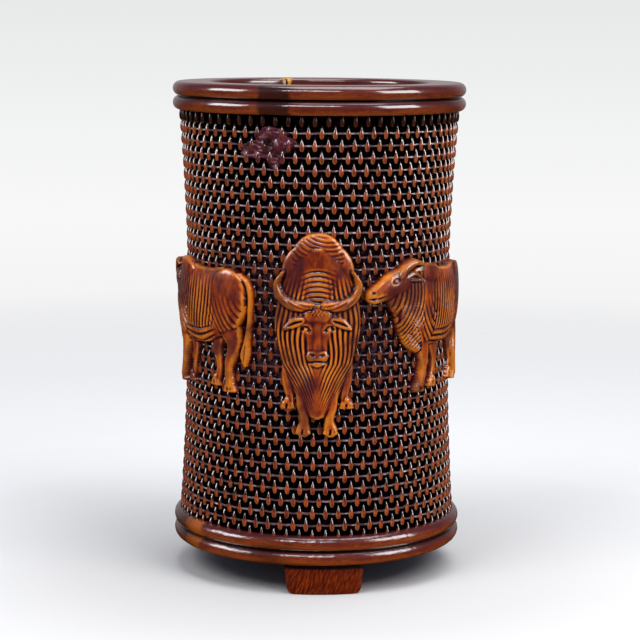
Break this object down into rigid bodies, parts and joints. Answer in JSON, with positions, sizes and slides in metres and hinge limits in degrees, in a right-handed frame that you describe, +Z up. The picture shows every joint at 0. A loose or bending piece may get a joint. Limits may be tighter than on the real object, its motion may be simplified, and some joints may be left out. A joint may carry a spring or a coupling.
{
  "type": "brush pot",
  "caption": "Waisted cylindrical brush pot with beaded rings at mouth and base, a basket-weave wall, oxen in high relief and block feet.",
  "frame": {"origin": "middle of the plane that the feet stand on, on the pot's axis", "axes": "+Z up along the pot's axis, -Y towards the front, where one foot and the ox that faces the viewer are"},
  "size_m": [0.0898, 0.0898, 0.15],
  "materials": {
    "ring_wood": "polished, reddish brown, waxed",
    "weave_wood": "carved basket weave, waxed, dark in the recesses",
    "ox_wood": "carved, polished by handling, orange brown",
    "floor_wood": "plain, dull"
  },
  "bodies": {
    "root": {"wall_tube": "weave_wood", "mouth_ring": "ring_wood", "base_ring": "ring_wood", "floor_board": "floor_wood", "foot_front": "ring_wood", "foot_rear_right": "ring_wood", "foot_rear_left": "ring_wood", "ox_front": "ox_wood", "ox_right": "ox_wood", "ox_left": "ox_wood", "ox_rear_right": "ox_wood", "ox_rear_left": "ox_wood"}
  },
  "joints": []
}
